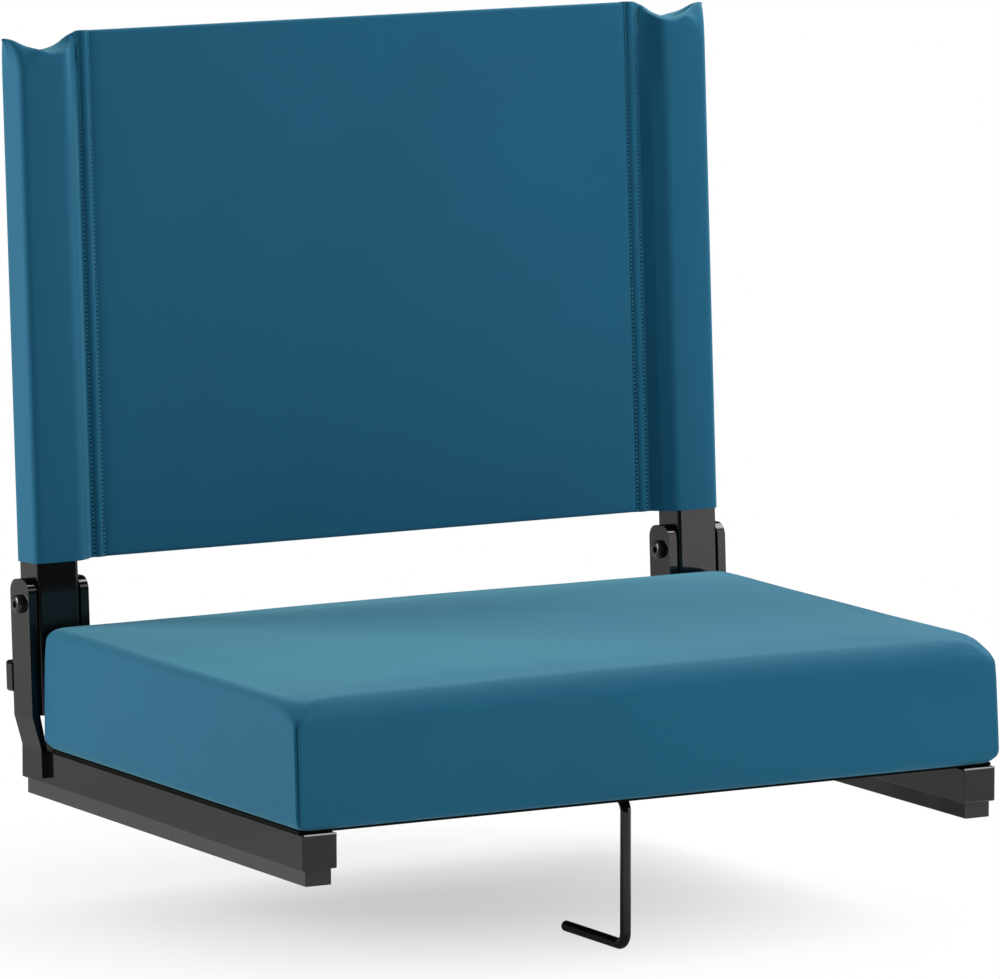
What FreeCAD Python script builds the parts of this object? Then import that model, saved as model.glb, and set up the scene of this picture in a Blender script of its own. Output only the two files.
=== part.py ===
import FreeCAD, Part
import math
import os
import re

import Sketcher
from FreeCAD import Placement, Rotation, Vector

# A folding seat for a stadium bench: two rails carry a cushioned board and four joggled bracket bars,
# a fabric back hangs on two posts that hinge between the bars, and a wire hook swings under the board.
# Axes: front edge towards -Y, +Z up; left and right are as seen from in front, so left is -X. Origin: on the
# bench, midway between the rails and midway along them. The back's pieces, and the bracket bars, are drawn
# upright about the pivot and then leaned back.

# Driving sizes in millimetres, angles in degrees
driving_sizes = {
    # Rails, end caps and glides
    "rail_span": 432.0,
    "rail_width": 20.6,
    "rail_height": 19.2,
    "rail_length": 332.0,
    "rail_wall": 1.6,
    "rail_corner": 0.8,
    "cap_flange": 3.0,
    "cap_insert": 12.0,
    "cap_clearance": 0.15,
    "cap_chamfer": 0.7,
    "glide_height": 9.0,
    "glide_inset": 2.5,
    "glide_web": 3.0,
    "glide_chamfer": 0.4,
    # Screws that clamp glide, rail and underside sheet to the board
    "rail_screw_diameter": 4.2,
    "rail_screw_head": 8.0,
    "rail_screw_head_height": 2.6,
    "screw_bite": 7.0,
    "screw_clearance": 0.1,
    "screw_recess_gap": 0.5,
    "screw_drive": 3.0,
    "screw_drive_depth": 1.4,
    # Underside sheet, board, foam and cover
    "sheet_thickness": 1.5,
    "sheet_front": 5.0,
    "sheet_rear": 37.0,
    "board_thickness": 9.0,
    "board_gap": 0.5,
    "cushion_front": 1.5,
    "cushion_back_gap": 7.75,
    "cushion_height": 72.0,
    "cushion_crown": 3.1,
    "cushion_flare": 2.0,
    "cushion_top_round": 12.0,
    "cushion_bottom_round": 6.0,
    "cushion_corner_round": 8.0,
    "cover_thickness": 1.2,
    "hem_width": 25.0,
    "foam_clearance": 0.3,
    # Pivot and bracket bars
    "pivot_rise": 7.5,
    "pivot_setback": 16.0,
    "recline": 3.25,
    "ear_thickness": 5.0,
    "ear_front_step": 0.75,
    "ear_top": 13.7,
    "ear_round": 7.5,
    "ear_gap": 1.0,
    "ear_foot": 3.2,
    "foot_thickness": 3.6,
    "joggle_rise": 18.3,
    "joggle_bend": 3.0,
    # Pivot bolts and bushes
    "bolt_diameter": 6.0,
    "bolt_head": 10.5,
    "bolt_head_height": 3.4,
    "bolt_head_round": 2.0,
    "bolt_socket": 4.0,
    "bolt_socket_depth": 2.2,
    "bolt_clearance": 0.1,
    "bolt_short": 0.4,
    "fit_clearance": 0.02,
    "bush_diameter": 9.0,
    "bush_length": 8.0,
    "bush_flange": 15.0,
    "bush_play": 0.1,
    "bush_running": 0.05,
    # Posts, plugs, stop bar and rivets
    "post_width": 25.4,
    "post_depth": 23.5,
    "post_wall": 1.6,
    "post_corner": 2.0,
    "post_foot_gap": 0.7,
    "post_head_gap": 10.5,
    "plug_flange": 2.5,
    "plug_insert": 12.0,
    "plug_clearance": 0.15,
    "stop_foot_gap": 20.5,
    "stop_height": 17.5,
    "stop_thickness": 7.0,
    "stop_overhang": 0.6,
    "stop_corner": 2.0,
    "stop_gap": 0.05,
    "rivet_diameter": 4.8,
    "rivet_head": 9.0,
    "rivet_head_height": 1.8,
    "rivet_tail": 7.5,
    "rivet_tail_height": 1.2,
    "rivet_spacing": 12.0,
    "rivet_clearance": 0.05,
    # Fabric back: flat panel between two sleeves
    "sling_bottom": 23.4,
    "sling_height": 293.1,
    "seam_reach": 27.7,
    "panel_thickness": 3.0,
    "cloth_thickness": 1.5,
    "cloth_clearance": 0.3,
    "cloth_round": 2.5,
    "sleeve_tuck": 6.0,
    "dip_depth": 10.0,
    "dip_radius": 30.0,
    "dip_offset": 5.0,
    # Bench hook, saddles and collar
    "hook_diameter": 6.0,
    "hook_setback": 33.0,
    "hook_drop": 57.0,
    "hook_reach": 66.0,
    "hook_bend": 7.0,
    "hook_tip_round": 1.5,
    "axle_drop": 4.6,
    "axle_tail": 3.0,
    "saddle_setback": 20.0,
    "saddle_length": 16.0,
    "saddle_pitch": 62.0,
    "saddle_width": 40.0,
    "saddle_wall": 1.5,
    "saddle_flange": 2.4,
    "saddle_running": 0.08,
    "saddle_end_play": 0.3,
    "saddle_screw_diameter": 3.6,
    "saddle_screw_head": 7.0,
    "saddle_screw_head_height": 2.2,
    "saddle_screw_inset": 6.0,
    "collar_diameter": 8.8,
}

# Shared expressions, written once and used wherever pieces line up
post_axis = "((rail_span - rail_width) / 2)"
rail_top = "(glide_height + rail_height)"
rail_screw_pitch = "(rail_length / 3)"
sheet_top = "(%s + sheet_thickness)" % rail_top
sheet_depth = "(rail_length - sheet_front - sheet_rear)"
sheet_middle = "((sheet_front - sheet_rear) / 2)"
board_bottom = "(%s + cover_thickness)" % sheet_top
board_top = "(%s + board_thickness)" % board_bottom
cushion_rear = "(pivot_setback + post_depth / 2 + cushion_back_gap)"
cushion_depth = "(rail_length - cushion_front - %s)" % cushion_rear
cushion_middle = "((cushion_front - %s) / 2)" % cushion_rear
pivot_y = "(rail_length / 2 - pivot_setback)"
pivot_height = "(%s + cushion_height + pivot_rise)" % sheet_top
ear_inside = "(post_width / 2 + ear_gap)"
ear_outside = "(%s + ear_thickness)" % ear_inside
ear_front = "(post_depth / 2 - ear_front_step)"
ear_rear = "(post_depth / 2 - stop_gap)"
ear_drop = "(%s - glide_height - ear_foot)" % pivot_height
joggle_bottom = "(%s - %s)" % (pivot_height, rail_top)
joggle_top = "(%s - joggle_rise)" % joggle_bottom
post_drop = "(%s - post_foot_gap)" % joggle_top
stop_drop = "(%s - stop_foot_gap)" % post_drop
sling_top = "(sling_bottom + sling_height)"
post_rise = "(%s - dip_depth - post_head_gap)" % sling_top
seam_offset = "(%s - seam_reach)" % post_axis
leg_y = "(hook_setback - rail_length / 2)"
axle_z = "(%s - axle_drop)" % rail_top
first_saddle_y = "(%s + hook_bend + saddle_setback + saddle_length / 2)" % leg_y
collar_start = "(%s + saddle_length / 2 + saddle_end_play)" % first_saddle_y
collar_length = "(saddle_pitch - saddle_length - 2 * saddle_end_play)"
axle_end = "(%s + saddle_pitch + saddle_length / 2 + axle_tail)" % first_saddle_y
sides = {"left": -1, "right": 1}

doc = FreeCAD.newDocument("StadiumSeat")
sheet = doc.addObject("Spreadsheet::Sheet", "Sizes")
for row, (alias, number) in enumerate(driving_sizes.items(), start=1):
    sheet.set("A%d" % row, alias)
    sheet.set("B%d" % row, str(number))
    sheet.setAlias("B%d" % row, alias)
doc.recompute()

sub_parts = []


def bind(text):
    # put the sheet's name before every size in an expression
    def with_sheet(match):
        word = match.group(0)
        return "Sizes." + word if word in driving_sizes else word
    return re.sub(r"[a-z_]+", with_sheet, text)


def tie(thing, **targets):
    # tie properties to sizes; a double underscore stands for a dot in the property's path
    for path, text in targets.items():
        thing.setExpression(path.replace("__", "."), bind(text))


def lean_back(thing):
    # stand a piece drawn about the pivot on the pivot line, leaned back by the recline
    thing.Placement = Placement(Vector(0, 0, 0), Rotation(Vector(1, 0, 0), 0))
    tie(thing, Placement__Base__y=pivot_y, Placement__Base__z=pivot_height,
        Placement__Rotation__Angle="-recline")


def new_body(label, leaning=False):
    body = doc.addObject("PartDesign::Body", label)
    body.Label = label
    if leaning:
        lean_back(body)
    return body


def keep(thing, label):
    thing.Label = label
    sub_parts.append(thing)
    return thing


def new_sketch(body, plane, offset):
    sketch = body.newObject("Sketcher::SketchObject", body.Name + "_sketch")
    support = [each for each in body.Origin.OriginFeatures if each.Role == plane + "_Plane"][0]
    sketch.AttachmentSupport = [(support, "")]
    sketch.MapMode = "FlatFace"
    if offset:
        tie(sketch, AttachmentOffset__Base__z=offset)
    return sketch


def fix_point(sketch, geometry, end, across, along):
    for kind, text in (("DistanceX", across), ("DistanceY", along)):
        index = sketch.addConstraint(Sketcher.Constraint(kind, -1, 1, geometry, end, 1.0))
        sketch.setExpression("Constraints[%d]" % index, bind(text))


def outline(body, plane, loops, offset=None):
    # one sketch of closed straight-sided loops, every corner placed by two expressions
    sketch = new_sketch(body, plane, offset)
    for corners in loops:
        first = sketch.GeometryCount
        count = len(corners)
        turn = [2 * math.pi * step / count for step in range(count + 1)]
        rough = [Vector(math.cos(angle), math.sin(angle), 0) for angle in turn]
        for step in range(count):
            sketch.addGeometry(Part.LineSegment(rough[step], rough[step + 1]))
        for step in range(count):
            following = first + (step + 1) % count
            sketch.addConstraint(Sketcher.Constraint("Coincident", first + step, 2, following, 1))
        for step, (across, along) in enumerate(corners):
            fix_point(sketch, first + step, 1, across, along)
    return sketch


def box_corners(low_x, high_x, low_y, high_y):
    return [(low_x, low_y), (high_x, low_y), (high_x, high_y), (low_x, high_y)]


def circles(body, plane, centres, radius, offset=None):
    sketch = new_sketch(body, plane, offset)
    for across, along in centres:
        index = sketch.addGeometry(Part.Circle(Vector(0, 0, 0), Vector(0, 0, 1), 1.0))
        fix_point(sketch, index, 3, across, along)
        size = sketch.addConstraint(Sketcher.Constraint("Radius", index, 1.0))
        sketch.setExpression("Constraints[%d]" % size, bind(radius))
    return sketch


def pad(body, sketch, length):
    # a pad that grows equally to both sides of its sketch
    feature = body.newObject("PartDesign::Pad", body.Name + "_pad")
    feature.Profile = sketch
    feature.Midplane = True
    tie(feature, Length=length)
    doc.recompute()
    return feature


def cut(body, sketch, length):
    # a pocket that reaches equally to both sides of its sketch
    before = body.Shape.Volume
    feature = body.newObject("PartDesign::Pocket", body.Name + "_pocket")
    feature.Profile = sketch
    feature.Midplane = True
    tie(feature, Length=length)
    doc.recompute()
    if body.Shape.Volume > before * (1 - 1e-7):
        raise RuntimeError("a cut in %s removed nothing" % body.Label)
    return feature


def along_axis(edge, axis):
    if edge.Curve.TypeId != "Part::GeomLine":
        return False
    return abs(edge.Curve.Direction.dot(axis)) > 0.999


def same(first, second):
    return abs(first - second) < 1e-4


def soften(body, kind, size, choose):
    # round or chamfer the edges that choose picks
    base = body.Tip
    names = ["Edge%d" % (step + 1) for step, edge in enumerate(base.Shape.Edges) if choose(edge)]
    feature = body.newObject("PartDesign::" + kind, body.Name + "_" + kind.lower())
    feature.Base = (base, names)
    tie(feature, **{"Radius" if kind == "Fillet" else "Size": size})
    doc.recompute()
    return feature


def round_bar(name, radius, length, x="0", y="0", z="0", axis="Z"):
    # a cylinder whose base centre is at x, y, z and which runs along a positive axis
    turns = {"X": Rotation(Vector(0, 1, 0), 90), "Y": Rotation(Vector(1, 0, 0), -90), "Z": Rotation()}
    bar = doc.addObject("Part::Cylinder", name)
    bar.Placement = Placement(Vector(0, 0, 0), turns[axis])
    tie(bar, Radius=radius, Height=length,
        Placement__Base__x=x, Placement__Base__y=y, Placement__Base__z=z)
    return bar


def hexagon(name, width, length, x, y, z, axis):
    # a six-sided prism, width across its flats
    turns = {"X": Rotation(Vector(0, 1, 0), 90), "Z": Rotation()}
    prism = doc.addObject("Part::Prism", name)
    prism.Polygon = 6
    prism.Placement = Placement(Vector(0, 0, 0), turns[axis])
    tie(prism, Circumradius="(%s) / sqrt(3)" % width, Height=length,
        Placement__Base__x=x, Placement__Base__y=y, Placement__Base__z=z)
    return prism


def join(name, pieces):
    feature = doc.addObject("Part::MultiFuse", name)
    feature.Shapes = pieces
    return feature


def less(name, base, tool):
    feature = doc.addObject("Part::Cut", name)
    feature.Base = base
    feature.Tool = tool
    return feature


def group(label, pieces):
    feature = doc.addObject("Part::Compound", label)
    feature.Links = pieces
    return keep(feature, label)


def rail_screw_rows():
    return ["-" + rail_screw_pitch, "0", rail_screw_pitch]


def saddle_rows():
    return [first_saddle_y, first_saddle_y + " + saddle_pitch"]


def saddle_screw_columns():
    return ["-(saddle_width / 2 - saddle_screw_inset)", "saddle_width / 2 - saddle_screw_inset"]


def make_rail(name, side):
    # rectangular tube with screw holes down through both walls
    body = new_body(name + "_rail")
    inner = "%d * (rail_span / 2 - rail_width)" % side
    outer = "%d * rail_span / 2" % side
    length = "rail_length - 2 * cap_flange"
    pad(body, outline(body, "XZ", [box_corners(inner, outer, "glide_height", rail_top)]), length)
    soften(body, "Fillet", "rail_corner", lambda edge: along_axis(edge, Vector(0, 1, 0)))
    hollow = box_corners("%d * (rail_span / 2 - rail_width + rail_wall)" % side,
                         "%d * (rail_span / 2 - rail_wall)" % side,
                         "glide_height + rail_wall", rail_top + " - rail_wall")
    cut(body, outline(body, "XZ", [hollow]), "2 * rail_length")
    spots = [("%d * %s" % (side, post_axis), row) for row in rail_screw_rows()]
    holes = circles(body, "XY", spots, "rail_screw_diameter / 2 + screw_clearance")
    cut(body, holes, "4 * (glide_height + rail_height)")
    keep(body, name + "_rail")


def make_rail_cap(name, side, end_name, end):
    # moulded plug: a flange flush with the tube and a spigot inside it
    body = new_body("%s_rail_%s_cap" % (name, end_name))
    inner = "%d * (rail_span / 2 - rail_width" % side
    outer = "%d * (rail_span / 2" % side
    flange = box_corners(inner + ")", outer + ")", "glide_height", rail_top)
    inset = "rail_wall + cap_clearance"
    spigot = box_corners(inner + " + %s)" % inset, outer + " - (%s))" % inset,
                         "glide_height + " + inset, rail_top + " - (%s)" % inset)
    flange_middle = "%d * (rail_length - cap_flange) / 2" % -end
    spigot_middle = "%d * (rail_length / 2 - cap_flange - cap_insert / 2)" % -end
    pad(body, outline(body, "XZ", [flange], flange_middle), "cap_flange")
    soften(body, "Fillet", "rail_corner", lambda edge: along_axis(edge, Vector(0, 1, 0)))
    outer_face = end * sheet.rail_length / 2
    soften(body, "Chamfer", "cap_chamfer",
           lambda edge: same(edge.BoundBox.YMin, outer_face) and same(edge.BoundBox.YMax, outer_face))
    pad(body, outline(body, "XZ", [spigot], spigot_middle), "cap_insert")
    keep(body, body.Label)


def make_glide(name, side):
    # non-slip strip under the rail, with recesses for the screw heads
    body = new_body(name + "_glide")
    inner = "%d * (rail_span / 2 - rail_width + glide_inset)" % side
    outer = "%d * (rail_span / 2 - glide_inset)" % side
    pad(body, outline(body, "XZ", [box_corners(inner, outer, "0", "glide_height")]),
        "rail_length - 2 * glide_inset")
    soften(body, "Chamfer", "glide_chamfer",
           lambda edge: along_axis(edge, Vector(0, 1, 0)) and same(edge.BoundBox.ZMax, 0))
    spots = [("%d * %s" % (side, post_axis), row) for row in rail_screw_rows()]
    recess = circles(body, "XY", spots, "rail_screw_head / 2 + screw_recess_gap")
    cut(body, recess, "2 * (glide_height - glide_web)")
    cut(body, circles(body, "XY", spots, "rail_screw_diameter / 2 + screw_clearance"), "4 * glide_height")
    keep(body, name + "_glide")


def make_screw(name, x, y, seat, tip, diameter, head, head_height):
    # pan-head screw driven upwards: head below seat, shank from seat to tip, hexagon socket in the head
    base = "(%s) - %s" % (seat, head_height)
    solid = join(name + "_solid", [
        round_bar(name + "_head", head + " / 2", head_height, x, y, base),
        round_bar(name + "_shank", diameter + " / 2", "(%s) - (%s)" % (tip, base), x, y, base)])
    return less(name, solid, hexagon(name + "_socket", "screw_drive", "screw_drive_depth", x, y, base, "Z"))


def make_rail_screws(name, side):
    screws = []
    for step, row in enumerate(rail_screw_rows()):
        screws.append(make_screw("%s_rail_screw_%d" % (name, step), "%d * %s" % (side, post_axis), row,
                                 "glide_height - glide_web", board_bottom + " + screw_bite",
                                 "rail_screw_diameter", "rail_screw_head", "rail_screw_head_height"))
    group(name + "_rail_screws", screws)


def drill_for_screws(body, depth):
    # holes for the rail screws and the saddle screws, cut about the sheet's underside
    rail_spots = [("%d * %s" % (side, post_axis), row)
                  for side in sides.values() for row in rail_screw_rows()]
    saddle_spots = [(column, row) for column in saddle_screw_columns() for row in saddle_rows()]
    for spots, diameter in ((rail_spots, "rail_screw_diameter"), (saddle_spots, "saddle_screw_diameter")):
        cut(body, circles(body, "XY", spots, diameter + " / 2 + screw_clearance", rail_top), depth)


def make_underside_sheet():
    body = new_body("underside_sheet")
    corners = box_corners("-rail_span / 2", "rail_span / 2", "%s - %s / 2" % (sheet_middle, sheet_depth),
                          "%s + %s / 2" % (sheet_middle, sheet_depth))
    pad(body, outline(body, "XY", [corners], rail_top + " + sheet_thickness / 2"), "sheet_thickness")
    drill_for_screws(body, "4 * sheet_thickness")
    keep(body, "underside_sheet")


def cushion_outline(inset):
    # the cushion's plan at its foot, drawn in by inset
    half_width = "(rail_span / 2 - (%s))" % inset
    half_depth = "(%s / 2 - (%s))" % (cushion_depth, inset)
    return box_corners("-" + half_width, half_width, "%s - %s" % (cushion_middle, half_depth),
                       "%s + %s" % (cushion_middle, half_depth))


def make_seat_board():
    # plywood board, its lower edge rounded for the cover pulled around it; blind holes take the screws
    body = new_body("seat_board")
    corners = cushion_outline("cover_thickness + board_gap")
    pad(body, outline(body, "XY", [corners], board_bottom + " + board_thickness / 2"), "board_thickness")
    soften(body, "Fillet", "cushion_corner_round", lambda edge: along_axis(edge, Vector(0, 0, 1)))
    foot = body.Tip.Shape.BoundBox.ZMin
    soften(body, "Fillet", "cushion_bottom_round - cover_thickness",
           lambda edge: same(edge.BoundBox.ZMax, foot))
    drill_for_screws(body, "2 * (sheet_thickness + cover_thickness + screw_bite + screw_recess_gap)")
    keep(body, "seat_board")


def cushion_form(name, inset, bottom):
    # flared block under a shallow spherical crown with rounded edges, drawn in by inset
    body = new_body(name + "_block")
    block = body.newObject("PartDesign::Pad", name + "_pad")
    block.Profile = outline(body, "XY", [cushion_outline(inset)], sheet_top)
    tie(block, Length="cushion_height + cushion_crown", TaperAngle="cushion_flare")
    doc.recompute()
    soften(body, "Fillet", "cushion_corner_round",
           lambda edge: edge.BoundBox.ZLength > sheet.cushion_height / 2)
    ball = doc.addObject("Part::Sphere", name + "_crown")
    ball.Placement = Placement(Vector(0, 0, 0), Rotation(Vector(1, 0, 0), 90))
    crown_radius = "(rail_span ^ 2 / (8 * cushion_crown) + cushion_crown / 2)"
    tie(ball, Radius="%s - (%s)" % (crown_radius, inset), Placement__Base__y=cushion_middle,
        Placement__Base__z="%s + cushion_height - %s" % (sheet_top, crown_radius))
    crowned = doc.addObject("Part::Common", name + "_crowned")
    crowned.Base = body
    crowned.Tool = ball
    doc.recompute()
    half_way = crowned.Shape.BoundBox.Center.z
    rounds = []
    for step, edge in enumerate(crowned.Shape.Edges, start=1):
        if edge.BoundBox.ZMin > half_way:
            rounds.append((step, sheet.cushion_top_round, sheet.cushion_top_round))
        elif edge.BoundBox.ZMax < half_way:
            rounds.append((step, sheet.cushion_bottom_round, sheet.cushion_bottom_round))
    rounded = doc.addObject("Part::Fillet", name + "_rounded")
    rounded.Base = crowned
    rounded.Edges = rounds
    floor = doc.addObject("Part::Box", name + "_floor")
    tie(floor, Length="2 * rail_span", Width="2 * rail_length", Height="2 * cushion_height",
        Placement__Base__x="-rail_span", Placement__Base__y="-rail_length",
        Placement__Base__z="%s - 2 * cushion_height" % bottom)
    return less(name, rounded, floor)


def make_cushion():
    # sewn cover with a hem turned in under the board, and the foam that fills it
    outside = cushion_form("cover_outside", "0", sheet_top)
    inside = cushion_form("cover_inside", "cover_thickness", board_bottom)
    mouth = doc.addObject("Part::Box", "cover_mouth")
    tie(mouth, Length="rail_span - 2 * hem_width", Width=cushion_depth + " - 2 * hem_width",
        Height="2 * cover_thickness", Placement__Base__x="hem_width - rail_span / 2",
        Placement__Base__y="%s + hem_width - %s / 2" % (cushion_middle, cushion_depth),
        Placement__Base__z=sheet_top + " - cover_thickness / 2")
    punches = []
    for name, side in sides.items():
        column = "%d * %s" % (side, post_axis)
        for step, row in enumerate(rail_screw_rows()):
            punches.append(round_bar("%s_hem_punch_%d" % (name, step),
                                     "rail_screw_diameter / 2 + screw_clearance", "2 * cover_thickness",
                                     column, row, sheet_top + " - cover_thickness / 2"))
    shell = less("cover_shell", outside, inside)
    keep(less("seat_cover", shell, join("hem_openings", [mouth] + punches)), "seat_cover")
    keep(cushion_form("seat_foam", "cover_thickness + foam_clearance", board_top), "seat_foam")


def make_bracket(name, side, place, outward):
    # flat bar with a thinned foot on the rail's side, joggled outwards so that the post fits between two
    body = new_body("%s_%s_bracket" % (name, place), leaning=True)
    centre = "%d * %s" % (side, post_axis)

    def at(distance):
        return "%s + %d * (%s)" % (centre, outward, distance)

    rail_side = "rail_width / 2"
    corners = [
        (at(ear_inside), "ear_top"),
        (at(ear_outside), "ear_top"),
        (at(ear_outside), "-" + joggle_top),
        (at(rail_side + " + foot_thickness"), "-" + joggle_bottom),
        (at(rail_side + " + foot_thickness"), "-" + ear_drop),
        (at(rail_side), "-" + ear_drop),
        (at(rail_side), "-" + joggle_bottom),
        (at(ear_inside), "-" + joggle_top),
    ]
    middle = "(%s - %s) / 2" % (ear_front, ear_rear)
    pad(body, outline(body, "XZ", [corners], middle), "%s + %s" % (ear_front, ear_rear))
    ends = body.Tip.Shape.BoundBox
    soften(body, "Fillet", "ear_round",
           lambda edge: along_axis(edge, Vector(1, 0, 0)) and same(edge.BoundBox.ZMin, ends.ZMax))
    soften(body, "Fillet", "joggle_bend",
           lambda edge: along_axis(edge, Vector(0, 1, 0)) and not same(edge.BoundBox.ZMin, ends.ZMax)
           and not same(edge.BoundBox.ZMin, ends.ZMin))
    fit = "fit_clearance" if outward > 0 else "bolt_clearance"
    cut(body, circles(body, "YZ", [("0", "0")], "bolt_diameter / 2 + " + fit, centre), "4 * " + ear_outside)
    keep(body, body.Label)


def make_pivot_bolt(name, side):
    # button-head bolt from the -X side, screwed into the bracket bar on the +X side
    spot = {"y": pivot_y, "z": pivot_height, "axis": "X"}
    head_start = "%d * %s - %s - bolt_head_height" % (side, post_axis, ear_outside)
    length = "bolt_head_height + 2 * %s - bolt_short" % ear_outside
    head = round_bar(name + "_bolt_head", "bolt_head / 2", "bolt_head_height", head_start, **spot)
    doc.recompute()
    middle = head.Shape.BoundBox.Center.x
    rim = [step + 1 for step, edge in enumerate(head.Shape.Edges)
           if edge.BoundBox.XLength < 1e-6 and edge.BoundBox.XMax < middle]
    dome = doc.addObject("Part::Fillet", name + "_bolt_dome")
    dome.Base = head
    dome.Edges = [(step, sheet.bolt_head_round, sheet.bolt_head_round) for step in rim]
    shank = round_bar(name + "_bolt_shank", "bolt_diameter / 2", length, head_start, **spot)
    socket = hexagon(name + "_bolt_socket", "bolt_socket", "bolt_socket_depth", head_start, **spot)
    keep(less(name + "_bolt", join(name + "_bolt_solid", [dome, shank]), socket), name + "_pivot_bolt")


def make_post_bushes(name, side):
    # flanged bushes in the post's two side walls, running on the bolt
    centre = "%d * %s" % (side, post_axis)
    bushes = []
    for step, way in enumerate((-1, 1)):
        label = "%s_bush_%d" % (name, step)
        wall = "%s + %d * post_width / 2" % (centre, way)
        flange_thickness = "(ear_gap - bush_play)"
        barrel_start = wall + (" - bush_length" if way > 0 else "")
        flange_start = wall + ("" if way > 0 else " - " + flange_thickness)
        barrel = round_bar(label + "_barrel", "bush_diameter / 2", "bush_length", barrel_start, axis="X")
        flange = round_bar(label + "_flange", "bush_flange / 2", flange_thickness, flange_start, axis="X")
        bore = round_bar(label + "_bore", "bolt_diameter / 2 + bush_running", "4 * bush_length",
                         wall + " - 2 * bush_length", axis="X")
        bushes.append(less(label, join(label + "_solid", [barrel, flange]), bore))
    lean_back(group(name + "_post_bushes", bushes))


def rivet_columns(side):
    return ["%d * %s %s rivet_spacing / 2" % (side, post_axis, sign) for sign in "-+"]


def post_section(side, inset):
    half_width = "(post_width / 2 - (%s))" % inset
    half_depth = "(post_depth / 2 - (%s))" % inset
    centre = "%d * %s" % (side, post_axis)
    return box_corners("%s - %s" % (centre, half_width), "%s + %s" % (centre, half_width),
                       "-" + half_depth, half_depth)


def make_post(name, side):
    # rectangular tube with bush holes across it and rivet holes in its rear wall
    body = new_body(name + "_post", leaning=True)
    middle = "(%s - %s) / 2" % (post_rise, post_drop)
    length = "(%s + %s - 2 * plug_flange)" % (post_rise, post_drop)
    pad(body, outline(body, "XY", [post_section(side, "0")], middle), length)
    soften(body, "Fillet", "post_corner", lambda edge: along_axis(edge, Vector(0, 0, 1)))
    cut(body, outline(body, "XY", [post_section(side, "post_wall")], middle), "2 * " + length)
    centre = "%d * %s" % (side, post_axis)
    bush_holes = circles(body, "YZ", [("0", "0")], "bush_diameter / 2 + fit_clearance", centre)
    cut(body, bush_holes, "2 * post_width")
    spots = [(column, "-" + stop_drop) for column in rivet_columns(side)]
    rear_wall = "-(post_depth / 2 - post_wall / 2)"
    cut(body, circles(body, "XZ", spots, "rivet_diameter / 2 + rivet_clearance", rear_wall), "2 * post_wall")
    keep(body, name + "_post")


def make_post_plug(name, side, end_name, end):
    # moulded plug that closes one end of a post
    body = new_body("%s_post_%s_plug" % (name, end_name), leaning=True)
    reach = post_rise if end > 0 else post_drop
    flange_middle = "%d * (%s - plug_flange / 2)" % (end, reach)
    spigot_middle = "%d * (%s - plug_flange - plug_insert / 2)" % (end, reach)
    pad(body, outline(body, "XY", [post_section(side, "0")], flange_middle), "plug_flange")
    soften(body, "Fillet", "post_corner", lambda edge: along_axis(edge, Vector(0, 0, 1)))
    pad(body, outline(body, "XY", [post_section(side, "post_wall + plug_clearance")], spigot_middle),
        "plug_insert")
    keep(body, body.Label)


def make_stop_bar():
    # crossbar behind both posts; it lands on the bracket bars' rear edges when the back is open
    body = new_body("stop_bar", leaning=True)
    half = "(%s + %s + stop_overhang)" % (post_axis, ear_outside)
    corners = box_corners("-" + half, half, "-%s - stop_height / 2" % stop_drop,
                          "-%s + stop_height / 2" % stop_drop)
    middle = "-(post_depth + stop_thickness) / 2"
    pad(body, outline(body, "XZ", [corners], middle), "stop_thickness")
    soften(body, "Fillet", "stop_corner", lambda edge: along_axis(edge, Vector(0, 1, 0)))
    spots = [(column, "-" + stop_drop) for side in sides.values() for column in rivet_columns(side)]
    cut(body, circles(body, "XZ", spots, "rivet_diameter / 2 + rivet_clearance", middle),
        "2 * stop_thickness")
    keep(body, "stop_bar")


def make_stop_rivets():
    # headed rivets through the stop bar and each post's rear wall
    rivets = []
    rear = "post_depth / 2 + stop_thickness"
    wall = "post_depth / 2 - post_wall"
    for name, side in sides.items():
        for step, column in enumerate(rivet_columns(side)):
            label = "%s_rivet_%d" % (name, step)
            shank = round_bar(label + "_shank", "rivet_diameter / 2", "stop_thickness + post_wall",
                              column, wall, "-" + stop_drop, "Y")
            head = round_bar(label + "_head", "rivet_head / 2", "rivet_head_height",
                             column, rear, "-" + stop_drop, "Y")
            tail = round_bar(label + "_tail", "rivet_tail / 2", "rivet_tail_height",
                             column, wall + " - rivet_tail_height", "-" + stop_drop, "Y")
            rivets.append(join(label, [shank, head, tail]))
    lean_back(group("stop_bar_rivets", rivets))


def make_back_panel():
    # taut flat panel in the posts' middle plane, sewn to a sleeve at each side
    body = new_body("back_panel", leaning=True)
    corners = box_corners("-" + seam_offset, seam_offset, "-panel_thickness / 2", "panel_thickness / 2")
    pad(body, outline(body, "XY", [corners], "sling_bottom + sling_height / 2"), "sling_height")
    keep(body, "back_panel")


def sleeve_loop(side, seam, seam_half, grow):
    # six-sided loop from the seam round the post, grow outside the post's faces
    centre = post_axis
    post_inner = "%s - post_width / 2 - (%s)" % (centre, grow)
    post_outer = "%s + post_width / 2 + (%s)" % (centre, grow)
    depth = "(post_depth / 2 + (%s))" % grow
    corners = [(seam, "-" + seam_half), (post_inner, "-" + depth), (post_outer, "-" + depth),
               (post_outer, depth), (post_inner, depth), (seam, seam_half)]
    return [("%d * (%s)" % (side, across), along) for across, along in corners]


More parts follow.
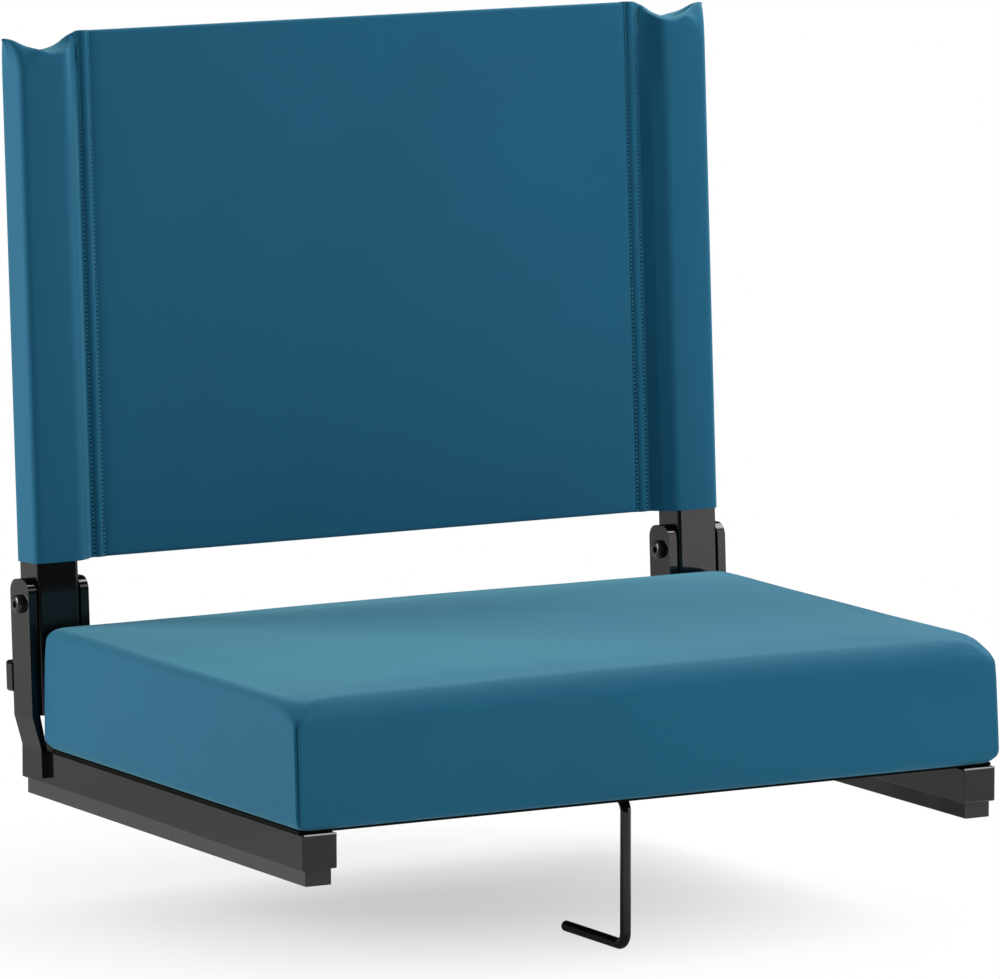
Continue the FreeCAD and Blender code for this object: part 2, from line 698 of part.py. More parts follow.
def make_sleeve(name, side):
    # cloth loop round a post, closed at the seam, with a top edge that dips in front of the post
    body = new_body(name + "_sleeve", leaning=True)
    middle = "sling_bottom + sling_height / 2"
    outer = sleeve_loop(side, seam_offset, "(panel_thickness / 2)", "cloth_clearance + cloth_thickness")
    pad(body, outline(body, "XY", [outer], middle), "sling_height")
    span = body.Tip.Shape.BoundBox
    seam = span.XMin if side > 0 else span.XMax
    soften(body, "Fillet", "cloth_round",
           lambda edge: along_axis(edge, Vector(0, 0, 1)) and not same(edge.BoundBox.XMax, seam))
    inner = sleeve_loop(side, seam_offset + " + sleeve_tuck", "cloth_clearance", "cloth_clearance")
    cut(body, outline(body, "XY", [inner], middle), "2 * sling_height")
    dip = ("%d * (%s - dip_offset)" % (side, post_axis), sling_top + " - dip_depth + dip_radius")
    cut(body, circles(body, "XZ", [dip], "dip_radius"), "4 * post_depth")
    keep(body, name + "_sleeve")


def make_hook():
    # one bent rod: axle under the board, leg down past the bench edge, toe back under the bench
    body = new_body("bench_hook")
    leg = sheet.hook_setback - sheet.rail_length / 2
    axle = sheet.glide_height + sheet.rail_height - sheet.axle_drop
    bend = sheet.hook_bend
    toe = -sheet.hook_drop
    tip = leg + sheet.hook_reach
    tail = leg + 3 * sheet.saddle_pitch
    spine = new_sketch(body, "YZ", None)
    spine.addGeometry(Part.LineSegment(Vector(tail, axle, 0), Vector(leg + bend, axle, 0)))
    spine.addGeometry(Part.ArcOfCircle(Part.Circle(Vector(leg + bend, axle - bend, 0), Vector(0, 0, 1), bend),
                                       math.pi / 2, math.pi))
    spine.addGeometry(Part.LineSegment(Vector(leg, axle - bend, 0), Vector(leg, toe + bend, 0)))
    spine.addGeometry(Part.ArcOfCircle(Part.Circle(Vector(leg + bend, toe + bend, 0), Vector(0, 0, 1), bend),
                                       math.pi, 1.5 * math.pi))
    spine.addGeometry(Part.LineSegment(Vector(leg + bend, toe, 0), Vector(tip, toe, 0)))
    for first, first_end, second, second_end in ((0, 2, 1, 1), (1, 2, 2, 1), (2, 2, 3, 1), (3, 2, 4, 1)):
        spine.addConstraint(Sketcher.Constraint("Tangent", first, first_end, second, second_end))
    for line, kind in ((0, "Horizontal"), (2, "Vertical"), (4, "Horizontal")):
        spine.addConstraint(Sketcher.Constraint(kind, line))
    for arc in (1, 3):
        size = spine.addConstraint(Sketcher.Constraint("Radius", arc, bend))
        spine.setExpression("Constraints[%d]" % size, bind("hook_bend"))
    fix_point(spine, 0, 1, axle_end, axle_z)
    fix_point(spine, 4, 2, leg_y + " + hook_reach", "-hook_drop")
    size = spine.addConstraint(Sketcher.Constraint("DistanceX", -1, 1, 2, 1, leg))
    spine.setExpression("Constraints[%d]" % size, bind(leg_y))
    section = circles(body, "XZ", [("0", axle_z)], "hook_diameter / 2", "-(%s)" % axle_end)
    doc.recompute()
    pipe = body.newObject("PartDesign::AdditivePipe", "hook_rod")
    pipe.Profile = section
    pipe.Spine = spine
    doc.recompute()
    ends = [each.BoundBox.YMax for each in body.Shape.Faces if each.Surface.TypeId == "Part::GeomPlane"]
    soften(body, "Fillet", "hook_tip_round",
           lambda edge: edge.Curve.TypeId == "Part::GeomCircle" and edge.BoundBox.YLength < 1e-6
           and min(abs(edge.BoundBox.YMax - end) for end in ends) < 1e-4)
    keep(body, "bench_hook")


def make_saddles():
    # two bearing blocks that hold the hook's axle under the board, each with two screws
    screws = []
    for step, (row, place) in enumerate(zip(saddle_rows(), ("front", "rear"))):
        body = new_body("hook_%s_saddle" % place)
        half = "(hook_diameter / 2 + saddle_running + saddle_wall)"
        flange_bottom = rail_top + " - saddle_flange"
        corners = [("-" + half, axle_z), (half, axle_z), (half, flange_bottom),
                   ("saddle_width / 2", flange_bottom), ("saddle_width / 2", rail_top),
                   ("-saddle_width / 2", rail_top), ("-saddle_width / 2", flange_bottom),
                   ("-" + half, flange_bottom)]
        pad(body, outline(body, "XZ", [corners], "-(%s)" % row), "saddle_length")
        pad(body, circles(body, "XZ", [("0", axle_z)], half, "-(%s)" % row), "saddle_length")
        bore = circles(body, "XZ", [("0", axle_z)], "hook_diameter / 2 + saddle_running", "-(%s)" % row)
        cut(body, bore, "2 * saddle_length")
        spots = [(column, row) for column in saddle_screw_columns()]
        holes = circles(body, "XY", spots, "saddle_screw_diameter / 2 + screw_clearance", rail_top)
        cut(body, holes, "4 * saddle_flange")
        keep(body, body.Label)
        for column_step, column in enumerate(saddle_screw_columns()):
            screws.append(make_screw("saddle_screw_%d_%d" % (step, column_step), column, row, flange_bottom,
                                     board_bottom + " + screw_bite", "saddle_screw_diameter",
                                     "saddle_screw_head", "saddle_screw_head_height"))
    group("hook_saddle_screws", screws)


def make_collar():
    # sleeve fixed on the axle between the saddles, so that the hook can turn but not slide
    spot = {"y": collar_start, "z": axle_z, "axis": "Y"}
    ring = round_bar("collar_ring", "collar_diameter / 2", collar_length, **spot)
    bore = round_bar("collar_bore", "hook_diameter / 2 + fit_clearance", collar_length, **spot)
    keep(less("collar", ring, bore), "hook_collar")


for name, side in sides.items():
    make_rail(name, side)
    for end_name, end in (("front", -1), ("rear", 1)):
        make_rail_cap(name, side, end_name, end)
    make_glide(name, side)
    make_rail_screws(name, side)
    for place, outward in (("outer", side), ("inner", -side)):
        make_bracket(name, side, place, outward)
    make_pivot_bolt(name, side)
    make_post(name, side)
    make_post_bushes(name, side)
    for end_name, end in (("bottom", -1), ("top", 1)):
        make_post_plug(name, side, end_name, end)
    make_sleeve(name, side)
make_underside_sheet()
make_seat_board()
make_cushion()
make_stop_bar()
make_stop_rivets()
make_back_panel()
make_hook()
make_saddles()
make_collar()
doc.recompute()

for thing in doc.Objects:
    if "Invalid" in thing.State or "Error" in thing.State:
        raise RuntimeError("%s did not compute: %s" % (thing.Label, thing.State))
for thing in sub_parts:
    if thing.Shape.isNull() or not thing.Shape.isValid() or not thing.Shape.Solids:
        raise RuntimeError("%s has no valid solid" % thing.Label)

os.makedirs("parts", exist_ok=True)
for thing in sub_parts:
    thing.Shape.exportStep("parts/%s.step" % thing.Label)
    print("%-24s solids %d  volume %.1f" % (thing.Label, len(thing.Shape.Solids), thing.Shape.Volume))
print("%d sub-parts" % len(sub_parts))
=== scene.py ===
import bpy
import math
from mathutils import Matrix, Vector, kdtree


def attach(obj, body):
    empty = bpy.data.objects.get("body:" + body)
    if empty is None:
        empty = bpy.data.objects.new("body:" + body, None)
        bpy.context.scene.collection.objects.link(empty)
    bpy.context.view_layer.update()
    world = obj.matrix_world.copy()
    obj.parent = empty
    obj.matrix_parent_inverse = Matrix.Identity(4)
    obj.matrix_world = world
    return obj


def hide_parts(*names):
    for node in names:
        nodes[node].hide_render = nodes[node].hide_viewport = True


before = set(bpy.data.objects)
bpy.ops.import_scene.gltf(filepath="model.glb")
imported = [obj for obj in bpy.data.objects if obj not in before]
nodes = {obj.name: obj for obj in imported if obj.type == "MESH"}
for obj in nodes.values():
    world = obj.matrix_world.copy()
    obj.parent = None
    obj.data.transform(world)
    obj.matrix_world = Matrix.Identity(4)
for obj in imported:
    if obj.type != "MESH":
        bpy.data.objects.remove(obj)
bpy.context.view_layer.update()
mm = 0.001
scene = bpy.context.scene
scene.view_settings.view_transform = "Standard"


# Node helpers

def addNode(tree, kind, inputs=None, **settings):
    node = tree.nodes.new(kind)
    for name, value in settings.items():
        setattr(node, name, value)
    for socket, value in (inputs or {}).items():
        if isinstance(value, bpy.types.NodeSocket):
            tree.links.new(value, node.inputs[socket])
        else:
            node.inputs[socket].default_value = value
    return node


def newGroup(name, kind, inputs, outputs):
    tree = bpy.data.node_groups.new(name, kind)
    for label, socket, start in inputs:
        item = tree.interface.new_socket(label, in_out="INPUT", socket_type=socket)
        if start is not None:
            item.default_value = start
    for label, socket in outputs:
        tree.interface.new_socket(label, in_out="OUTPUT", socket_type=socket)
    return tree, tree.nodes.new("NodeGroupInput"), tree.nodes.new("NodeGroupOutput")


def newMaterial(name):
    finish = bpy.data.materials.new(name)
    finish.use_nodes = True
    tree = finish.node_tree
    tree.nodes.clear()
    shader = tree.nodes.new("ShaderNodeBsdfPrincipled")
    out = tree.nodes.new("ShaderNodeOutputMaterial")
    tree.links.new(shader.outputs[0], out.inputs["Surface"])
    return finish, tree, shader


def mathNode(tree, operation, *values):
    return addNode(tree, "ShaderNodeMath", dict(enumerate(values)), operation=operation).outputs[0]


def mixColour(tree, factor, first, second):
    # sockets 6 and 7 are the mix node's two colours, output 2 its colour
    return addNode(tree, "ShaderNodeMix", {0: factor, 6: first, 7: second}, data_type="RGBA").outputs[2]


# Shared surface effects

def buildWeave():
    # plain weave: two sets of threads passing over and under each other
    tree, enter, leave = newGroup(
        "plainWeave", "ShaderNodeTree",
        [("Vector", "NodeSocketVector", None), ("Threads", "NodeSocketFloat", 1800.0)],
        [("Height", "NodeSocketFloat"), ("Gap", "NodeSocketFloat")])
    scaled = addNode(tree, "ShaderNodeVectorMath",
                     {0: enter.outputs["Vector"], 3: enter.outputs["Threads"]}, operation="SCALE").outputs[0]
    jitter = addNode(tree, "ShaderNodeTexNoise", {"Vector": scaled, "Scale": 0.09, "Detail": 1.0})
    shifted = addNode(tree, "ShaderNodeVectorMath", {0: scaled, 1: jitter.outputs["Color"]},
                      operation="ADD")
    split = addNode(tree, "ShaderNodeSeparateXYZ", {0: shifted.outputs[0]})
    across = mathNode(tree, "MULTIPLY", split.outputs[0], math.pi)
    along = mathNode(tree, "MULTIPLY", split.outputs[1], math.pi)
    sineA = mathNode(tree, "SINE", across)
    sineB = mathNode(tree, "SINE", along)
    cross = mathNode(tree, "MULTIPLY", sineA, sineB)
    height = mathNode(tree, "MULTIPLY_ADD", cross, 0.5, 0.5)
    gap = mathNode(tree, "SUBTRACT", 1.0, mathNode(tree, "ABSOLUTE", cross))
    tree.links.new(height, leave.inputs["Height"])
    tree.links.new(gap, leave.inputs["Gap"])
    return tree


def buildMottle():
    # slow drift of tone over a surface, between 0 and 1
    tree, enter, leave = newGroup(
        "slowMottle", "ShaderNodeTree",
        [("Vector", "NodeSocketVector", None), ("Scale", "NodeSocketFloat", 12.0)],
        [("Tone", "NodeSocketFloat")])
    broad = addNode(tree, "ShaderNodeTexNoise",
                    {"Vector": enter.outputs[0], "Scale": enter.outputs[1], "Detail": 3.0})
    tree.links.new(broad.outputs[0], leave.inputs[0])
    return tree


def buildSkin():
    # skin of a painted or moulded part: fine ripple, uneven gloss and a little dust
    tree, enter, leave = newGroup(
        "fineSkin", "ShaderNodeTree",
        [("Vector", "NodeSocketVector", None), ("Ripple", "NodeSocketFloat", 400.0),
         ("Smooth", "NodeSocketFloat", 0.1), ("Rough", "NodeSocketFloat", 0.2)],
        [("Roughness", "NodeSocketFloat"), ("Height", "NodeSocketFloat"), ("Dust", "NodeSocketFloat")])

    def noise(scale, detail):
        return addNode(tree, "ShaderNodeTexNoise",
                       {"Vector": enter.outputs["Vector"], "Scale": scale, "Detail": detail}).outputs[0]

    rough = addNode(tree, "ShaderNodeMapRange", {
        "Value": noise(26.0, 4.0), "From Min": 0.3, "From Max": 0.7,
        "To Min": enter.outputs["Smooth"], "To Max": enter.outputs["Rough"]})
    dust = addNode(tree, "ShaderNodeMapRange",
                   {"Value": noise(900.0, 0.0), "From Min": 0.66, "From Max": 0.8})
    tree.links.new(rough.outputs[0], leave.inputs["Roughness"])
    tree.links.new(noise(enter.outputs["Ripple"], 2.0), leave.inputs["Height"])
    tree.links.new(dust.outputs[0], leave.inputs["Dust"])
    return tree


plainWeave, slowMottle, fineSkin = buildWeave(), buildMottle(), buildSkin()

cloth = {
    "deep": (0.0062, 0.080, 0.146, 1), "light": (0.0082, 0.094, 0.168, 1),
    "sheen": 0.22, "sheenTint": (0.4, 0.9, 0.95, 1), "sheenRough": 0.42,
    "threads": 1700.0, "bump": 0.12, "bumpHigh": 0.0002, "mottle": 14.0,
    "gap": (0.004, 0.03, 0.06, 1), "gapShade": 0.22, "smooth": 0.72, "rough": 0.82, "shine": 0.1,
}


def clothMaterial(name):
    finish, tree, shader = newMaterial(name)
    cut = addNode(tree, "ShaderNodeUVMap", uv_map="cloth").outputs[0]
    place = addNode(tree, "ShaderNodeTexCoord").outputs["Object"]
    weave = addNode(tree, "ShaderNodeGroup", node_tree=plainWeave)
    tree.links.new(cut, weave.inputs["Vector"])
    weave.inputs["Threads"].default_value = cloth["threads"]
    tone = addNode(tree, "ShaderNodeGroup", node_tree=slowMottle)
    tree.links.new(place, tone.inputs["Vector"])
    tone.inputs["Scale"].default_value = cloth["mottle"]
    base = mixColour(tree, tone.outputs[0], cloth["deep"], cloth["light"])
    shadeAmount = mathNode(tree, "MULTIPLY", weave.outputs["Gap"], cloth["gapShade"])
    tree.links.new(mixColour(tree, shadeAmount, base, cloth["gap"]), shader.inputs["Base Color"])
    rough = addNode(tree, "ShaderNodeMapRange",
                    {"Value": tone.outputs[0], "To Min": cloth["smooth"], "To Max": cloth["rough"]})
    tree.links.new(rough.outputs[0], shader.inputs["Roughness"])
    bump = addNode(tree, "ShaderNodeBump", {"Strength": cloth["bump"], "Distance": cloth["bumpHigh"],
                                            "Height": weave.outputs["Height"]})
    tree.links.new(bump.outputs[0], shader.inputs["Normal"])
    shader.inputs["Sheen Weight"].default_value = cloth["sheen"]
    shader.inputs["Sheen Roughness"].default_value = cloth["sheenRough"]
    shader.inputs["Sheen Tint"].default_value = cloth["sheenTint"]
    shader.inputs["Specular IOR Level"].default_value = cloth["shine"]
    return finish


hardFinishes = {
    "blackEnamel": {"colour": (0.0022, 0.0022, 0.0024, 1), "dust": (0.03, 0.03, 0.03, 1), "ripple": 220.0,
                    "smooth": 0.05, "rough": 0.1, "bump": 0.015, "ior": 1.4},
    "blackPlastic": {"colour": (0.006, 0.006, 0.0065, 1), "dust": (0.03, 0.03, 0.03, 1), "ripple": 900.0,
                     "smooth": 0.22, "rough": 0.36, "bump": 0.1},
    "glideRubber": {"colour": (0.008, 0.008, 0.0085, 1), "dust": (0.05, 0.05, 0.05, 1), "ripple": 1200.0,
                    "smooth": 0.42, "rough": 0.6, "bump": 0.15},
    "blackSheet": {"colour": (0.002, 0.002, 0.0022, 1), "dust": (0.01, 0.01, 0.01, 1), "ripple": 1500.0,
                   "smooth": 0.5, "rough": 0.7, "bump": 0.2, "shine": 0.04},
    "blackScrew": {"colour": (0.012, 0.012, 0.013, 1), "dust": (0.08, 0.08, 0.08, 1), "ripple": 600.0,
                   "smooth": 0.12, "rough": 0.26, "bump": 0.05},
}


def hardMaterial(name, colour, dust, ripple, smooth, rough, bump, ior=1.45, shine=0.5):
    dustShare, bumpHigh = 0.04, 0.0002
    finish, tree, shader = newMaterial(name)
    place = addNode(tree, "ShaderNodeTexCoord").outputs["Object"]
    skin = addNode(tree, "ShaderNodeGroup", node_tree=fineSkin)
    tree.links.new(place, skin.inputs["Vector"])
    for label, value in (("Ripple", ripple), ("Smooth", smooth), ("Rough", rough)):
        skin.inputs[label].default_value = value
    share = mathNode(tree, "MULTIPLY", skin.outputs["Dust"], dustShare)
    tree.links.new(mixColour(tree, share, colour, dust), shader.inputs["Base Color"])
    tree.links.new(skin.outputs["Roughness"], shader.inputs["Roughness"])
    lumps = addNode(tree, "ShaderNodeBump",
                    {"Strength": bump, "Distance": bumpHigh, "Height": skin.outputs["Height"]})
    tree.links.new(lumps.outputs[0], shader.inputs["Normal"])
    shader.inputs["IOR"].default_value = ior
    shader.inputs["Specular IOR Level"].default_value = shine
    return finish


ply = {
    "dark": (0.30, 0.17, 0.075, 1), "light": (0.52, 0.34, 0.17, 1), "glue": (0.16, 0.085, 0.04, 1),
    "stretch": (4.0, 60.0, 30.0), "grain": 3.0, "veneers": 105.0, "waver": 0.4, "glueShade": 0.35,
    "smooth": 0.5, "rough": 0.75, "bump": 0.2, "bumpHigh": 0.0003,
}


def plyMaterial(name):
    # veneers in the board's edge, grain along its width
    finish, tree, shader = newMaterial(name)
    place = addNode(tree, "ShaderNodeTexCoord").outputs["Object"]
    stretched = addNode(tree, "ShaderNodeMapping", {"Vector": place, "Scale": ply["stretch"]}).outputs[0]
    grain = addNode(tree, "ShaderNodeTexNoise",
                    {"Vector": stretched, "Scale": ply["grain"], "Detail": 6.0}).outputs[0]
    layers = addNode(tree, "ShaderNodeTexWave",
                     {"Vector": place, "Scale": ply["veneers"], "Distortion": ply["waver"]},
                     bands_direction="Z")
    wood = mixColour(tree, grain, ply["dark"], ply["light"])
    edge = mathNode(tree, "MULTIPLY", layers.outputs["Fac"], ply["glueShade"])
    tree.links.new(mixColour(tree, edge, wood, ply["glue"]), shader.inputs["Base Color"])
    rough = addNode(tree, "ShaderNodeMapRange",
                    {"Value": grain, "To Min": ply["smooth"], "To Max": ply["rough"]})
    tree.links.new(rough.outputs[0], shader.inputs["Roughness"])
    bump = addNode(tree, "ShaderNodeBump",
                   {"Strength": ply["bump"], "Distance": ply["bumpHigh"], "Height": grain})
    tree.links.new(bump.outputs[0], shader.inputs["Normal"])
    return finish


tealCloth = clothMaterial("tealCloth")
hard = {name: hardMaterial(name, **settings) for name, settings in hardFinishes.items()}
hard["boardPly"] = plyMaterial("boardPly")
print("materials ready")


# Finishes on the metal, plastic and wood nodes, by the first of these words in their names
finishWords = {
    "plug": "blackPlastic", "bushes": "blackPlastic", "screws": "blackScrew", "bolt": "blackScrew",
    "rivets": "blackScrew", "saddle": "blackPlastic", "collar": "blackPlastic", "glide": "glideRubber",
    "underside_sheet": "blackSheet", "seat_board": "boardPly", "rail": "blackEnamel",
    "bracket": "blackEnamel", "post": "blackEnamel", "stop_bar": "blackEnamel", "hook": "blackEnamel",
}
for name, node in nodes.items():
    for word, finish in finishWords.items():
        if word in name:
            if not node.data.materials:
                node.data.materials.append(hard[finish])
            for place in node.material_slots:
                place.material = hard[finish]
            break
print("hard finishes set")


def addPiece(name, points, faces, finish, cutPlaces=None):
    mesh = bpy.data.meshes.new(name)
    mesh.from_pydata([tuple(p) for p in points], [], faces)
    mesh.materials.append(finish)
    for face in mesh.polygons:
        face.use_smooth = True
    if cutPlaces:
        layer = mesh.uv_layers.new(name="cloth")
        for loop in mesh.loops:
            layer.data[loop.index].uv = cutPlaces[loop.vertex_index]
    piece = bpy.data.objects.new(name, mesh)
    scene.collection.objects.link(piece)
    return piece


def stripFaces(rows, columns):
    # four-sided faces of a grid of points, row by row
    return [(r * columns + c, r * columns + c + 1, (r + 1) * columns + c + 1, (r + 1) * columns + c)
            for r in range(rows - 1) for c in range(columns - 1)]


def stepsAcross(length, near, count):
    # places across a length: close together near both ends, count even steps between
    middle = length - 2 * near[-1]
    return (near + [near[-1] + middle * k / count for k in range(1, count)]
            + [length - n for n in reversed(near)])


def roundGrid(columns, rows):
    # (column, row) of each point round the edge of a grid
    return ([(c, 0) for c in range(columns)] + [(columns - 1, r) for r in range(1, rows)]
            + [(c, rows - 1) for c in range(columns - 2, -1, -1)] + [(0, r) for r in range(rows - 2, 0, -1)])


def smoothStep(x):
    x = min(max(x, 0.0), 1.0)
    return x * x * (3 - 2 * x)


def alongTable(table, x):
    # smooth curve through (x, value) pairs
    for k in range(len(table) - 1):
        (x0, v0), (x1, v1) = table[k], table[k + 1]
        if x <= x1 or k == len(table) - 2:
            t = min(max((x - x0) / (x1 - x0), 0.0), 1.0)
            before = table[k - 1] if k > 0 else (2 * x0 - x1, 2 * v0 - v1)
            after = table[k + 2] if k + 2 < len(table) else (2 * x1 - x0, 2 * v1 - v0)
            m0 = (v1 - before[1]) / (x1 - before[0]) * (x1 - x0)
            m1 = (after[1] - v0) / (after[0] - x0) * (x1 - x0)
            return ((2 * t ** 3 - 3 * t ** 2 + 1) * v0 + (t ** 3 - 2 * t ** 2 + t) * m0
                    + (-2 * t ** 3 + 3 * t ** 2) * v1 + (t ** 3 - t ** 2) * m1)


# Back sling: flat panel between two pocket sleeves, drawn upright about the pivot and leaned back
sling = {
    "pivotY": 150.0, "pivotZ": 109.2, "recline": math.radians(3.25), "postAxis": 205.7,
    "bottom": 22.8, "top": 316.0, "seam": 175.1, "rowGap": 6.4, "panelThick": 5.6, "clothThick": 1.0,
    "front": 13.1, "outer": 14.0, "bulge": 0.4, "bulgeFrom": 12.0, "bulgeWide": 12.0, "shoulder": 266.0,
    "groove": 1.3, "weltRise": 1.6, "panelLap": 0.3, "sewnIn": 0.8, "sewnWide": 2.5, "closedGap": 0.05,
    "slopeStart": -27.2, "slopeFoot": -25.2, "slopeKnee": (-20.5, -7.2), "kneeRound": 6.0,
    "slopeEnd": -13.4, "slopeRound": 8.0, "cornerRound": 4.0, "tipFold": 1.2,
    "puffDeep": 1.5, "puffWide": 2.6, "hemRound": 1.5, "hemThin": 0.12,
    # the slope beside the seam flattens by this share, from this height up and this far in
    "easeShare": 0.6, "easeFrom": 246.0, "easeOver": 60.0, "easeIn": -15.0, "easeWide": 8.0,
    # top edge of a closed sleeve: distance out from the post's middle, height above the pivot
    "topEdge": [(-36.0, 316.1), (-28.0, 315.9), (-24.6, 314.6), (-20.8, 312.6), (-17.0, 310.0),
                (-13.0, 308.0), (-9.0, 306.7), (-4.0, 306.0), (0.0, 306.3), (5.0, 307.6), (9.0, 309.6),
                (12.0, 311.5), (14.5, 312.9), (18.3, 313.4)],
    # share of the way round from the flap, height over which the wall rolls in to the top edge
    "rollDeep": [(0.0, 0.6), (0.14, 0.8), (0.3, 1.2), (0.375, 2.2), (0.55, 2.4), (0.66, 3.2), (0.8, 22.0),
                 (1.0, 27.0)],
    # share of the way round, share of that height reached before the wall turns in
    "rollFull": [(0.0, 0.6), (0.375, 0.85), (0.55, 0.85), (0.66, 0.85), (0.8, 0.9), (1.0, 0.7)],
}


def lean(x, y, w):
    c, s = math.cos(sling["recline"]), math.sin(sling["recline"])
    return (x * mm, (sling["pivotY"] + y * c + w * s) * mm, (sling["pivotZ"] - y * s + w * c) * mm)


def roundedRun(corners, steps):
    # open run of points through corners (x, y, radius), each bend rounded
    points = []
    for k, (x, y, radius) in enumerate(corners):
        here = Vector((x, y))
        if radius <= 0 or k in (0, len(corners) - 1):
            points.append(here)
            continue
        a = (Vector(corners[k - 1][:2]) - here).normalized()
        b = (Vector(corners[k + 1][:2]) - here).normalized()
        half = a.angle(b) / 2
        reach = radius / math.tan(half)
        start, end = here + a * reach, here + b * reach
        for t in range(steps + 1):
            t /= steps
            points.append((1 - t) ** 2 * start + 2 * t * (1 - t) * here + t ** 2 * end)
    return points


def evenRun(points, spacing):
    # the same run with points no further apart than spacing
    out = [points[0]]
    for a, b in zip(points, points[1:]):
        count = max(1, math.ceil((b - a).length / spacing))
        out += [a.lerp(b, n / count) for n in range(1, count + 1)]
    return out


def sleeveSection():
    # front half of the loop round a post: flap under the panel's edge, welt between the rows, slope,
    # front and side
    s = sling
    flap, rowHalf, tuck = 1.6, 0.45, 0.4
    rowRound, footRound = 0.4, 0.5
    steps, spacing = 6, 2.2
    seam = s["seam"] - s["postAxis"]
    row = s["rowGap"] / 2
    front, outer = s["front"] - s["clothThick"] / 2, s["outer"] - s["clothThick"] / 2
    welt = []
    for k in range(-steps, steps + 1):
        t = k / steps
        welt.append((seam + t * (row - rowHalf), -s["groove"] - s["weltRise"] * (1 - t * t), 0))
    corners = ([(seam - row - flap, tuck - s["groove"], 0),
                (seam - row - s["panelLap"], -s["groove"], 0)] + welt
               + [(seam + row + rowHalf, -s["groove"], rowRound),
                  (s["slopeFoot"], -s["groove"] - tuck, footRound),
                  (*s["slopeKnee"], s["kneeRound"]), (s["slopeEnd"], -front, s["slopeRound"]),
                  (outer, -front, s["cornerRound"]), (outer, 0, 0)])
    return evenRun(roundedRun(corners, steps), spacing)


def makeSleeve(name, side):
    s = sling
    section = sleeveSection()
    length = [0.0]
    for a, b in zip(section, section[1:]):
        length.append(length[-1] + (b - a).length)
    total = length[-1]
    count = len(section)
    start, tip = section[0].x, s["topEdge"][-1][0]
    corner = max(range(count), key=lambda k: section[k].x - section[k].y)
    cornerShare = length[corner] / total
    sewn = s["postAxis"] - s["seam"] - s["rowGap"] / 2 - s["sewnIn"]
    closedY = s["clothThick"] / 2 + s["closedGap"]
    # rows of points: close together at the hem, even up to the shoulder, then up the wall and over the roll
    hem, step, even = [0, 0.6, 1.6, 4, 8], 9.4, 24
    rises = hem + [hem[-1] + step * k for k in range(1, even + 1)]
    walls, rolls = 6, 14
    rows = len(rises) + walls + rolls
    points, places = [], []
    for r in range(rows):
        line = []
        for k, p in enumerate(section):
            share = length[k] / total
            # laid flat along the top edge, the front reaches almost to the tip, the side folds up in it
            if share <= cornerShare:
                flatE = start + (tip - s["tipFold"] - start) * share / cornerShare
            else:
                flatE = tip - s["tipFold"] * (1 - share) / (1 - cornerShare)
            endW = alongTable(s["topEdge"], flatE)
            rollW = endW - alongTable(s["rollDeep"], share)
            close = 0.0
            if r < len(rises):
                w = s["bottom"] + rises[r]
            elif r < len(rises) + walls:
                w = s["shoulder"] + (rollW - s["shoulder"]) * (r - len(rises)) / walls
            else:
                # the wall rolls in over the post's end to a flat double edge at the top
                t = (r - len(rises) - walls) / (rolls - 1)
                full = rollW + (endW - rollW) * alongTable(s["rollFull"], share)
                w = (1 - t) ** 2 * rollW + 2 * t * (1 - t) * full + t * t * endW
                close = t * t
            # the sewn edge beside the panel runs straight up and stays open
            free = smoothStep((p.x + sewn) / s["sewnWide"])
            if free < 1 and r >= len(rises):
                climb = (r - len(rises)) / (walls + rolls - 1)
                straight = s["shoulder"] + (alongTable(s["topEdge"], p.x) - s["shoulder"]) * climb
                w = straight + (w - straight) * free
            close *= free
            swell = ease = 0.0
            if p.y < -s["bulgeFrom"]:
                swell = s["bulge"] * math.cos(math.pi / 2 * min(1.0, abs(p.x - 1.0) / s["bulgeWide"]))
            if p.x > s["slopeStart"]:
                ease = s["easeShare"] * smoothStep((w - s["easeFrom"]) / s["easeOver"])
                ease *= smoothStep((s["easeIn"] - p.x) / s["easeWide"])
            level = p.y * (1 - ease) - s["groove"] * ease
            x = p.x + (flatE - p.x) * close
            y = (level - swell) * (1 - close) - closedY * close
            line.append((x, y, w, length[k]))
        # front half from flap to side, then the same mirrored behind
        back = [(x, -y, w, 2 * total - d) for x, y, w, d in reversed(line[:-1])]
        for x, y, w, d in line + back:
            points.append(lean(side * (s["postAxis"] + x), y, w))
            places.append((d * mm, w * mm))
    columns = 2 * count - 1
    faces = stripFaces(rows, columns)
    if side < 0:
        faces = [tuple(reversed(f)) for f in faces]
    piece = addPiece(name, points, faces, tealCloth, places)
    wall = piece.modifiers.new("thickness", "SOLIDIFY")
    wall.thickness = s["clothThick"] * mm
    wall.offset = 0.0
    wall.use_even_offset = True
    return piece, 2 * total, s["top"] - s["bottom"]


def applyModifiers(piece):
    mesh = bpy.data.meshes.new_from_object(piece.evaluated_get(bpy.context.evaluated_depsgraph_get()))
    piece.modifiers.clear()
    old = piece.data
    piece.data = mesh
    mesh.name = piece.name
    bpy.data.meshes.remove(old)
    return piece


